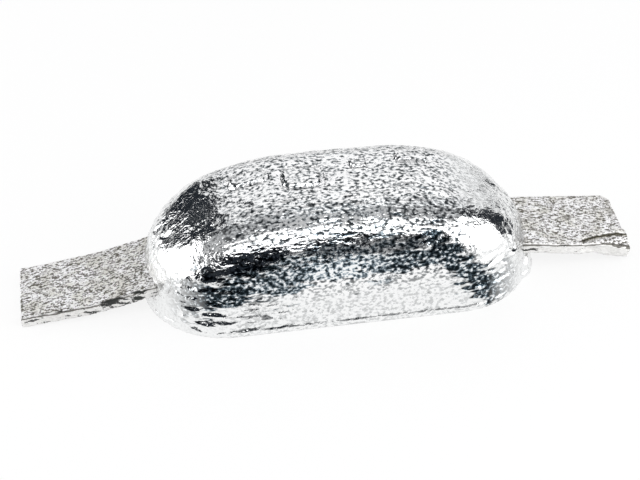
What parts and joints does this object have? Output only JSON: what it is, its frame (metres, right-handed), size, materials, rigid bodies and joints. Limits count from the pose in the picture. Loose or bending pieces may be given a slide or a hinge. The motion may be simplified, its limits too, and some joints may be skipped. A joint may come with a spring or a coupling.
{
  "type": "sacrificial anode",
  "caption": "Loaf-shaped cast zinc hull anode with a flat steel strap cast through it, its two cranked lugs for welding to the plating.",
  "frame": {"origin": "centre of the casting's flat back, in the plane that faces the hull", "axes": "+X along the strap, towards the straight lug with the beaten corner; +Y across the strap; +Z out of the back, away from the hull"},
  "size_m": [0.3131, 0.09, 0.0575],
  "materials": {
    "cast_zinc": "rough-cast zinc, bright",
    "galvanised_steel": "dull galvanised flat bar"
  },
  "bodies": {
    "root": {"anode_casting": "cast_zinc", "steel_strap": "galvanised_steel"}
  },
  "joints": []
}
